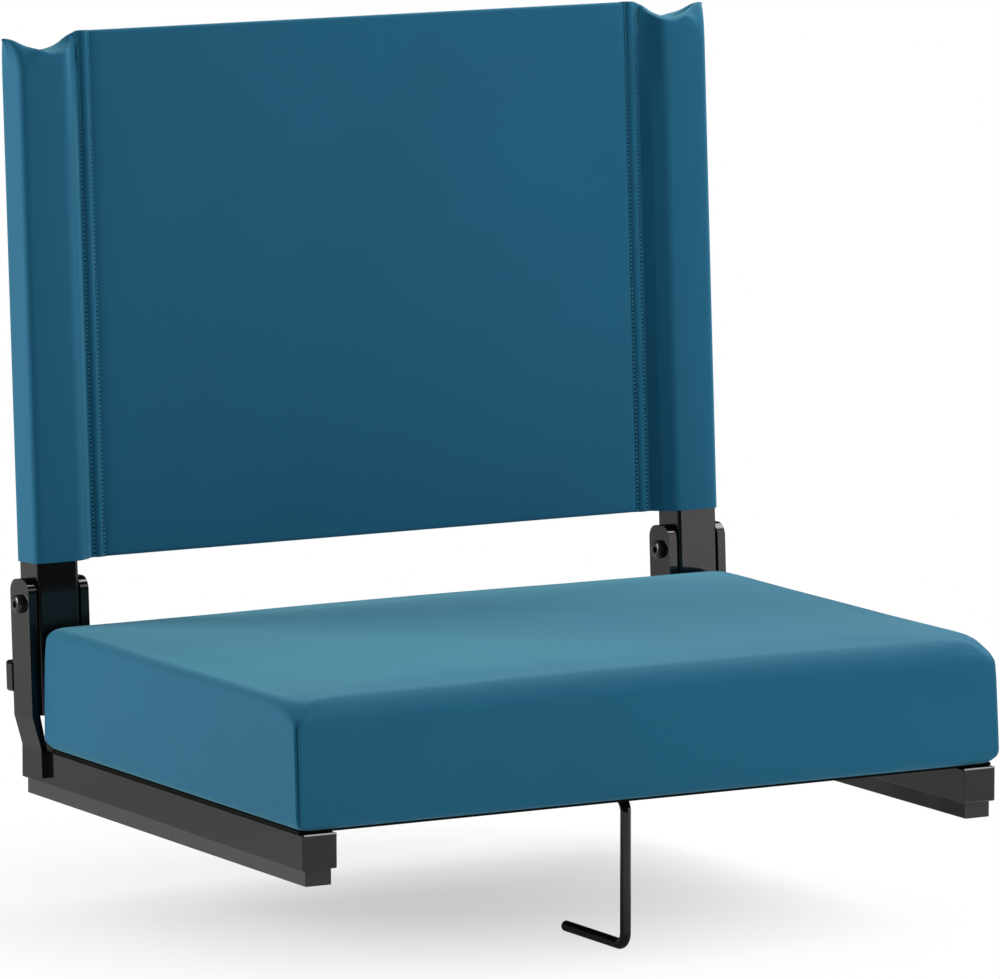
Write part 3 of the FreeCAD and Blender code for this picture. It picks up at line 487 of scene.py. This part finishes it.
def makePanel():
    # doubled panel cloth, drawn down into the inner rows of stitches, with soft folded edges top and bottom
    s = sling
    row = s["seam"] - s["rowGap"] / 2
    half = s["seam"] + s["rowGap"] / 2 + s["panelLap"]
    high = s["top"] - s["bottom"]
    nearSeam = [0, 2.5, 5, 7.8, 8.3, 8.8, 9.4, 10.1, 11, 12, 13.2, 15]
    nearHem = [0, 0.25, 0.6, 1.1, 1.8, 3.2, 6]
    cells = 40
    xs = [x - half for x in stepsAcross(2 * half, nearSeam, cells)]
    ws = stepsAcross(high, nearHem, cells)
    points, places = [], []
    for face in (-1, 1):
        for w in ws:
            fold = min(1.0, (min(w, high - w) + s["hemThin"]) / s["hemRound"])
            for x in xs:
                down = math.exp(-max(0.0, row - abs(x)) / s["puffWide"]) * s["puffDeep"]
                thick = (s["panelThick"] / 2 - down) * math.sqrt(1 - (1 - fold) ** 2)
                points.append(lean(x, face * thick, s["bottom"] + w))
                places.append((x * mm, (w + (face + 1) * high / 2) * mm))
    rows, columns = len(ws), len(xs)
    size = rows * columns
    front = stripFaces(rows, columns)
    faces = front + [tuple(size + k for k in reversed(f)) for f in front]
    around = [r * columns + c for c, r in roundGrid(columns, rows)]
    faces += [(n, k, size + k, size + n) for k, n in zip(around, around[1:] + around[:1])]
    return addPiece("back_panel_cloth", points, faces, tealCloth, places), 2 * half, high


panelCloth, panelWide, panelHigh = makePanel()
sleeves = {}
for word, side in (("left", -1), ("right", 1)):
    piece, wide, high = makeSleeve(word + "_sleeve_cloth", side)
    sleeves[word] = (applyModifiers(piece), wide, high)
print("sling made, sleeve cloth %.1f mm round" % sleeves["left"][1])


# Cushion: waterfall cover over a foam block, swollen by a cloth simulation
cushion = {
    "halfWide": 219.3, "front": -167.3, "rear": 133.4, "foot": 29.3, "frontLean": 4.0,
    "high": 71.1, "crownRadius": 13700.0, "frontRound": 14.0, "sideRound": 6.0, "rearRound": 8.0,
    "bottomRound": 8.0, "blend": 50.0,
    # upright corners, wider from this share of the height up; the front two sink at the top
    "corner": 4.5, "topCorner": 6.5, "cornerFrom": 0.7, "cornerDrop": 3.8, "cornerReach": 15.0,
    # sewn crease down each corner, a lip beside it, and where it fades at the foot and the top
    "creaseDeep": 1.3, "creaseWide": 0.7, "lip": 0.45, "lipWide": 0.9, "lipAway": 2.1,
    "creaseFoot": 1.0, "creaseStart": 4.0, "creaseTop": 0.84, "creaseEnd": 0.12,
    # places of the first points in from an edge, then the step between points
    "nearEdge": [0, 0.3, 0.6, 0.95, 1.35, 1.8, 2.4, 3.1, 4, 5, 6.2, 7.6, 9.2, 11, 13, 15.5, 18.5],
    "step": 8.0,
    # simulation: the swell it is scaled to, coarse copy, pressure, held foot, cloth
    "swell": 1.4, "voxel": 0.005, "pressure": 4.0, "frames": 20, "cap": 0.012, "even": 0.012,
    "neighbours": 40, "held": 9.0,
    "cloth": {"quality": 6, "mass": 0.3, "tension_stiffness": 25, "compression_stiffness": 25,
              "shear_stiffness": 12, "bending_stiffness": 2.0},
}


def cushionPoint(c, halfX, halfY, x, y, inset, corner, crease):
    # a point on the box's plan outline, drawn in by inset with rounded corners and a sewn crease on each
    sx, sy = (1 if x >= 0 else -1), (1 if y >= 0 else -1)
    fromSide, fromEnd = halfX - abs(x), halfY - abs(y)
    limitX, limitY = halfX - inset, halfY - inset
    corner = min(corner, limitX, limitY)
    xSide = fromSide <= fromEnd
    d = abs(fromEnd - fromSide)
    groove = crease * (math.exp(-(d / c["creaseWide"]) ** 2) * c["creaseDeep"]
                       - math.exp(-((d - c["lipAway"]) / c["lipWide"]) ** 2) * c["lip"])
    if d < corner:
        turn = math.pi / 4 * (1 - d / corner)
        angle = turn if xSide else math.pi / 2 - turn
        px = limitX - corner + (corner - groove) * math.cos(angle)
        py = limitY - corner + (corner - groove) * math.sin(angle)
    elif xSide:
        px, py = limitX - groove, limitY - d
    else:
        px, py = limitX - d, limitY - groove
    return sx * px, sy * py


def cushionForm():
    c = cushion
    halfX, halfY = c["halfWide"], (c["rear"] - c["front"]) / 2
    middleY = (c["rear"] + c["front"]) / 2
    near = c["nearEdge"]
    xs, ys = ([v - half for v in stepsAcross(2 * half, near, round((2 * half - 2 * near[-1]) / c["step"]))]
              for half in (halfX, halfY))
    b = c["bottomRound"]
    lows, sides, tops = 6, 10, 8
    heights = ([("low", k / lows) for k in range(lows + 1)] + [("side", k / sides) for k in range(1, sides)]
               + [("top", k / tops) for k in range(tops + 1)])
    index, points, places = {}, [], []

    def topRound(x, y):
        # rounding of the nearest top edge, blended round the corners
        ring = min(halfX - abs(x), halfY - abs(y))
        ends = c["frontRound"] if y < 0 else c["rearRound"]
        share = ((halfX - abs(x)) - (halfY - abs(y))) / c["blend"] + 0.5
        return c["sideRound"] + (ends - c["sideRound"]) * smoothStep(share), ring

    def put(key, x, y, inset, z, high, place, crease):
        if key in index:
            return index[key]
        rise = smoothStep((z / high - c["cornerFrom"]) / (1 - c["cornerFrom"]))
        corner = c["corner"] + (c["topCorner"] - c["corner"]) * rise
        px, py = cushionPoint(c, halfX, halfY, x, y, inset, corner, crease)
        py += c["frontLean"] * z / high * (0.5 - py / (2 * halfY))
        index[key] = len(points)
        points.append((px * mm, (py + middleY) * mm, (c["foot"] + z) * mm))
        places.append(place)
        return index[key]

    nx, ny, nz = len(xs), len(ys), len(heights)

    def pointAt(i, j, k):
        # i, j on the plan grid, k = -1 for the underside, nz for the top face, else a side row
        x, y = xs[i], ys[j]
        bend, ring = topRound(x, y)
        near = math.hypot(halfX - abs(x), halfY + y) / c["cornerReach"]
        high = c["high"] - (x * x + y * y) / (2 * c["crownRadius"]) - c["cornerDrop"] * math.exp(-near * near)
        if k == -1:
            a = math.pi / 4 * max(0.0, 1 - ring / b)
            inset = b * (1 - math.sin(a)) if ring < b else ring
            z = b * (1 - math.cos(a))
            key = (i, j, "u") if ring > 0 else (i, j, 0)
            return put(key, x, y, inset, z, high, (x * mm, y * mm), 0.0)
        if k == nz:
            a = math.pi / 4 * (1 + min(1.0, ring / bend))
            inset = bend * (1 - math.cos(a)) if ring < bend else ring
            z = high - bend + bend * math.sin(a)
            key = (i, j, "t") if ring > 0 else (i, j, nz - 1)
            return put(key, x, y, inset, z, high, (x * mm, y * mm), 0.0)
        kind, t = heights[k]
        if kind == "low":
            a = math.pi / 4 * (1 + t)
            inset, z = b * (1 - math.sin(a)), b * (1 - math.cos(a))
        elif kind == "top":
            a = math.pi / 4 * t
            inset, z = bend * (1 - math.cos(a)), high - bend + bend * math.sin(a)
        else:
            inset, z = 0.0, b + (high - bend - b) * t
        fade = smoothStep((z - c["creaseFoot"]) / c["creaseStart"])
        fade *= 1 - smoothStep((z - c["creaseTop"] * high) / (c["creaseEnd"] * high))
        wide = abs(abs(y) - halfY) < 1e-6
        place = (x * mm, (z + y * 2) * mm) if wide else (y * mm, (z + x * 2) * mm)
        return put((i, j, k), x, y, inset, z, high, place, fade)

    faces = []
    for i in range(nx - 1):
        for j in range(ny - 1):
            faces.append(tuple(pointAt(*a, nz) for a in ((i, j), (i + 1, j), (i + 1, j + 1), (i, j + 1))))
            faces.append(tuple(pointAt(*a, -1) for a in ((i, j), (i, j + 1), (i + 1, j + 1), (i + 1, j))))
    around = roundGrid(nx, ny)
    for a, d in zip(around, around[1:] + around[:1]):
        for k in range(nz - 1):
            faces.append((pointAt(*a, k), pointAt(*d, k), pointAt(*d, k + 1), pointAt(*a, k + 1)))
    return points, faces, places


def swellOf(points, faces):
    # inflate a coarse copy as cloth under pressure, foot held, and return how far its points moved
    c = cushion
    mesh = bpy.data.meshes.new("swellCopy")
    mesh.from_pydata(points, [], faces)
    copy = bpy.data.objects.new("swellCopy", mesh)
    scene.collection.objects.link(copy)
    remesh = copy.modifiers.new("voxels", "REMESH")
    remesh.mode = "VOXEL"
    remesh.voxel_size = c["voxel"]
    applyModifiers(copy)
    held = copy.vertex_groups.new(name="foot")
    start = [v.co.copy() for v in copy.data.vertices]
    held.add([k for k, p in enumerate(start) if p.z < (c["foot"] + c["held"]) * mm], 1.0, "REPLACE")
    sim = copy.modifiers.new("swell", "CLOTH")
    for setting, value in c["cloth"].items():
        setattr(sim.settings, setting, value)
    sim.settings.vertex_group_mass = "foot"
    sim.settings.use_pressure = True
    sim.settings.uniform_pressure_force = c["pressure"]
    sim.settings.effector_weights.gravity = 0.0
    sim.point_cache.frame_end = c["frames"]
    for step in range(1, c["frames"] + 1):
        scene.frame_set(step)
    shown = copy.evaluated_get(bpy.context.evaluated_depsgraph_get()).to_mesh()
    moved = []
    for p, v in zip(start, shown.vertices):
        move = v.co - p
        if move.length > c["cap"]:
            move = move.normalized() * c["cap"]
        moved.append(move)
    scene.frame_set(1)
    bpy.data.objects.remove(copy)
    return start, moved


def makeCushion():
    c = cushion
    points, faces, places = cushionForm()
    start, moved = swellOf(points, faces)
    rise = max(m.z for m in moved)
    print("cushion swelled %.1f mm in the simulation" % (rise / mm))
    tree = kdtree.KDTree(len(start))
    for k, p in enumerate(start):
        tree.insert(p, k)
    tree.balance()
    gain = c["swell"] * mm / rise
    out = []
    for p in points:
        total, weight = Vector((0, 0, 0)), 0.0
        for place, k, far in tree.find_n(p, c["neighbours"]):
            share = math.exp(-(far / c["even"]) ** 2)
            total += moved[k] * share
            weight += share
        out.append(tuple(Vector(p) + total / weight * gain))
    points = out
    return addPiece("seat_cushion", points, faces, tealCloth, places)


seatCushion = makeCushion()
print("cushion made, %d faces" % len(seatCushion.data.polygons))


# Stitches: two rows down each seam, on the front and the back, with a dark bead of painted shade for the
# needle hole between each two stitches
stitch = {
    "pitch": 2.35, "length": 1.5, "thick": 0.85, "proud": 0.2, "start": 1.2, "end": 1.0,
    # the hole beads are near-black painted shade standing for the shade inside each needle hole
    "holeLong": 0.9, "holeWide": 1.0, "holeLow": 0.05,
    "threadDark": (0.03, 0.17, 0.26, 1), "threadLight": (0.06, 0.27, 0.38, 1),
    "holeShadeDark": (0.0005, 0.012, 0.024, 1), "holeShadeLight": (0.001, 0.018, 0.034, 1),
    "twist": 900.0, "smooth": 0.45, "rough": 0.65, "shine": 0.05,
}


def buildStitches():
    # a bead of thread at every pitch along each row, turned along the row
    tree, enter, leave = newGroup(
        "stitchRow", "GeometryNodeTree",
        [("Rows", "NodeSocketGeometry", None), ("Pitch", "NodeSocketFloat", 0.0025),
         ("Length", "NodeSocketFloat", 0.0018), ("Thick", "NodeSocketFloat", 0.0006),
         ("Thread", "NodeSocketMaterial", None)],
        [("Stitches", "NodeSocketGeometry")])
    curve = addNode(tree, "GeometryNodeMeshToCurve", {0: enter.outputs["Rows"]})
    spaced = addNode(tree, "GeometryNodeResampleCurve",
                     {"Curve": curve.outputs[0], "Length": enter.outputs["Pitch"]}, mode="LENGTH")
    tangent = addNode(tree, "GeometryNodeInputTangent")
    turn = addNode(tree, "FunctionNodeAlignRotationToVector", {"Vector": tangent.outputs[0]}, axis="Z")
    bead = addNode(tree, "GeometryNodeMeshUVSphere", {"Segments": 8, "Rings": 6, "Radius": 0.5})
    size = addNode(tree, "ShaderNodeCombineXYZ", {
        0: enter.outputs["Thick"], 1: enter.outputs["Thick"], 2: enter.outputs["Length"]})
    laid = addNode(tree, "GeometryNodeInstanceOnPoints", {
        "Points": spaced.outputs[0], "Instance": bead.outputs[0],
        "Rotation": turn.outputs[0], "Scale": size.outputs[0]})
    solid = addNode(tree, "GeometryNodeRealizeInstances", {0: laid.outputs[0]})
    smooth = addNode(tree, "GeometryNodeSetShadeSmooth", {0: solid.outputs[0]})
    dressed = addNode(tree, "GeometryNodeSetMaterial",
                      {0: smooth.outputs[0], "Material": enter.outputs["Thread"]})
    tree.links.new(dressed.outputs[0], leave.inputs[0])
    return tree


def makeStitches(name, rows, tree, finish, long, wide):
    # rows are runs of points; the tree turns each run into a row of beads
    mesh = bpy.data.meshes.new(name + "Rows")
    points, edges = [], []
    for run in rows:
        first = len(points)
        points += run
        edges += [(first + k, first + k + 1) for k in range(len(run) - 1)]
    mesh.from_pydata(points, edges, [])
    lines = bpy.data.objects.new(name, mesh)
    scene.collection.objects.link(lines)
    sew = lines.modifiers.new("sew", "NODES")
    sew.node_group = tree
    values = {"Pitch": stitch["pitch"] * mm, "Length": long * mm, "Thick": wide * mm, "Thread": finish}
    for item in tree.interface.items_tree:
        if item.in_out == "INPUT" and item.name in values:
            sew[item.identifier] = values[item.name]
    return applyModifiers(lines)


def threadMaterial(name, dark, light):
    finish, tree, shader = newMaterial(name)
    place = addNode(tree, "ShaderNodeTexCoord").outputs["Object"]
    twist = addNode(tree, "ShaderNodeTexWave",
                    {"Vector": place, "Scale": stitch["twist"], "Distortion": 1.0},
                    bands_direction="DIAGONAL")
    tree.links.new(mixColour(tree, twist.outputs["Fac"], dark, light), shader.inputs["Base Color"])
    rough = addNode(tree, "ShaderNodeMapRange",
                    {"Value": twist.outputs["Fac"], "To Min": stitch["smooth"], "To Max": stitch["rough"]})
    tree.links.new(rough.outputs[0], shader.inputs["Roughness"])
    shader.inputs["Specular IOR Level"].default_value = stitch["shine"]
    return finish


tealThread = threadMaterial("tealThread", stitch["threadDark"], stitch["threadLight"])
# dark beads of painted shade, standing in for the shade inside the needle holes
needleHoleShade = threadMaterial("needleHoleShade", stitch["holeShadeDark"], stitch["holeShadeLight"])
stitchTree = buildStitches()
seamRows, holeShadeRows = [], []
flatY = sling["groove"] + sling["clothThick"] / 2 + stitch["proud"]
for side in (-1, 1):
    for off in (-1, 1):
        x = side * (sling["seam"] + off * sling["rowGap"] / 2)
        end = alongTable(sling["topEdge"], abs(x) - sling["postAxis"]) - stitch["end"]
        for face in (-1, 1):
            first = sling["bottom"] + stitch["start"]
            seamRows.append([lean(x, face * flatY, w) for w in (first, (first + end) / 2, end)])
            first += stitch["pitch"] / 2
            low = face * (flatY - stitch["holeLow"])
            holeShadeRows.append([lean(x, low, w) for w in (first, (first + end) / 2, end)])
seamStitches = makeStitches("sling_stitches", seamRows, stitchTree, tealThread,
                            stitch["length"], stitch["thick"])
seamHoleShade = makeStitches("sling_needle_hole_shade", holeShadeRows, stitchTree, needleHoleShade,
                         stitch["holeLong"], stitch["holeWide"])
print("stitches made, %d faces" % len(seamStitches.data.polygons))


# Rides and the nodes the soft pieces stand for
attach(panelCloth, "back")
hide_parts("back_panel")
for piece in (seamStitches, seamHoleShade):
    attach(piece, "back")
for word, (piece, wide, high) in sleeves.items():
    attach(piece, "back")
    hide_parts(word + "_sleeve")
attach(seatCushion, "seat")
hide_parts("seat_cover", "seat_foam")


# Camera at the photograph's angle
view = {
    "place": (-2.5240, -4.4743, 0.9241),
    "turn": math.radians(-29.396667672), "dip": math.radians(8.281528662),
    "sensor": 36.0, "lensShare": 9.410026, "clipEnd": 100.0,
}
eye = bpy.data.cameras.new("photoCamera")
eye.lens = view["lensShare"] * view["sensor"]
eye.sensor_width = view["sensor"]
eye.sensor_fit = "HORIZONTAL"
eye.clip_end = view["clipEnd"]
camera = bpy.data.objects.new("photoCamera", eye)
rightward = Vector((math.cos(view["turn"]), math.sin(view["turn"]), 0))
ahead = math.cos(view["dip"])
onward = Vector((-math.sin(view["turn"]) * ahead, math.cos(view["turn"]) * ahead, -math.sin(view["dip"])))
upward = rightward.cross(onward)
camera.matrix_world = Matrix((
    (rightward.x, upward.x, -onward.x, view["place"][0]),
    (rightward.y, upward.y, -onward.y, view["place"][1]),
    (rightward.z, upward.z, -onward.z, view["place"][2]),
    (0, 0, 0, 1)))
scene.collection.objects.link(camera)
scene.camera = camera


# Studio: white floor and surroundings, softboxes above, at the right, behind at the left and at the front
studio = {
    "ambient": 0.56, "mirrored": 0.08, "aim": (0.0, 0.0, 0.12), "floorZ": -0.0605, "floorHalf": 12.0,
    "floorDark": (0.78, 0.78, 0.78, 1), "floorLight": (0.8, 0.8, 0.8, 1),
    "shadePale": 0.35, "shadeGlow": 0.45, "middle": (-0.01, 0.11, 0.0), "whiteFrom": 0.0, "whiteTo": 0.4,
    "mirrorPale": 0.68, "mirrorBack": 0.37, "backFrom": -0.1, "backTo": 0.4,
    "mirrorFrom": 1.5, "mirrorTo": 2.2,
    "boxes": {
        "keyBox": {"place": (1.07, -0.31, 1.95), "size": (0.8, 0.8), "radiance": 10.3},
        "rightBox": {"place": (1.5, 0.5, 1.5), "size": (1.2, 1.2), "radiance": 8.0},
        "leftBox": {"place": (-1.85, 1.3, 0.6), "size": (1.0, 1.2), "radiance": 13.8},
        "frontBox": {"place": (1.4, -1.14, 0.72), "size": (1.7, 1.65), "radiance": 2.3},
    },
}


def makeWorld():
    # white to the eye, dim in reflections, soft fill as light
    world = bpy.data.worlds.new("studioWorld")
    scene.world = world
    world.use_nodes = True
    tree = world.node_tree
    tree.nodes.clear()
    path = addNode(tree, "ShaderNodeLightPath")
    seen = mathNode(tree, "MAXIMUM", path.outputs["Is Camera Ray"], path.outputs["Is Transmission Ray"])
    level = mathNode(tree, "MULTIPLY_ADD", seen, 1.0 - studio["ambient"], studio["ambient"])
    strength = mathNode(tree, "MULTIPLY_ADD", path.outputs["Is Glossy Ray"],
                        studio["mirrored"] - studio["ambient"], level)
    sky = addNode(tree, "ShaderNodeBackground", {"Color": (1, 1, 1, 1), "Strength": strength})
    out = addNode(tree, "ShaderNodeOutputWorld")
    tree.links.new(sky.outputs[0], out.inputs[0])


def makeBoxes():
    for name, box in studio["boxes"].items():
        lamp = bpy.data.lights.new(name, "AREA")
        lamp.shape = "RECTANGLE"
        lamp.size, lamp.size_y = box["size"]
        lamp.energy = box["radiance"] * math.pi * box["size"][0] * box["size"][1]
        holder = bpy.data.objects.new(name, lamp)
        holder.location = box["place"]
        aim = Vector(studio["aim"]) - Vector(box["place"])
        holder.rotation_euler = aim.to_track_quat("-Z", "Y").to_euler()
        holder.visible_camera = False
        scene.collection.objects.link(holder)


def makeFloor():
    # keeps the seat's shadow near the middle and fades to white; plain to light; in reflections dim far off
    # and painted darker towards the back, as painted shade behind the seat
    finish = bpy.data.materials.new("paleFloor")
    finish.use_nodes = True
    tree = finish.node_tree
    tree.nodes.clear()
    place = addNode(tree, "ShaderNodeTexCoord").outputs["Object"]
    grain = addNode(tree, "ShaderNodeTexNoise", {"Vector": place, "Scale": 3.0})
    flat = addNode(tree, "ShaderNodeVectorMath", {0: place, 1: (1, 1, 0)}, operation="MULTIPLY").outputs[0]

    def fade(middle, start, end):
        reach = addNode(tree, "ShaderNodeVectorMath", {0: flat, 1: middle}, operation="DISTANCE")
        return addNode(tree, "ShaderNodeMapRange",
                       {"Value": reach.outputs["Value"], "From Min": start, "From Max": end},
                       interpolation_type="SMOOTHSTEP").outputs[0]

    def diffuse(colour):
        return addNode(tree, "ShaderNodeBsdfDiffuse", {"Color": colour}).outputs[0]

    def glow(strength):
        return addNode(tree, "ShaderNodeEmission", {"Strength": strength}).outputs[0]

    def mixed(factor, first, second):
        return addNode(tree, "ShaderNodeMixShader", {0: factor, 1: first, 2: second}).outputs[0]

    plain = diffuse(mixColour(tree, grain.outputs[0], studio["floorDark"], studio["floorLight"]))
    pale = studio["shadePale"]
    shade = addNode(tree, "ShaderNodeAddShader",
                    {0: diffuse((pale, pale, pale, 1)), 1: glow(studio["shadeGlow"])})
    shown = mixed(fade(studio["middle"], studio["whiteFrom"], studio["whiteTo"]), shade.outputs[0], glow(1.0))
    # painted shade: the floor seen in reflections grows darker towards the back, behind the seat
    behind = addNode(tree, "ShaderNodeMapRange", {
        "Value": addNode(tree, "ShaderNodeSeparateXYZ", {0: place}).outputs["Y"],
        "From Min": studio["backFrom"], "From Max": studio["backTo"],
        "To Min": studio["mirrorPale"], "To Max": studio["mirrorBack"]}).outputs[0]
    far = fade((0, 0, 0), studio["mirrorFrom"], studio["mirrorTo"])
    mirror = mixed(far, diffuse(behind), glow(studio["mirrored"]))
    path = addNode(tree, "ShaderNodeLightPath")
    seen = mathNode(tree, "MAXIMUM", path.outputs["Is Camera Ray"], path.outputs["Is Transmission Ray"])
    out = addNode(tree, "ShaderNodeOutputMaterial")
    tree.links.new(mixed(seen, mixed(path.outputs["Is Glossy Ray"], plain, mirror), shown), out.inputs[0])
    z, half = studio["floorZ"], studio["floorHalf"]
    square = [(-half, -half, z), (half, -half, z), (half, half, z), (-half, half, z)]
    floor = addPiece("studioFloor", square, [(0, 1, 2, 3)], finish)


makeWorld()
makeBoxes()
makeFloor()
print("studio ready")
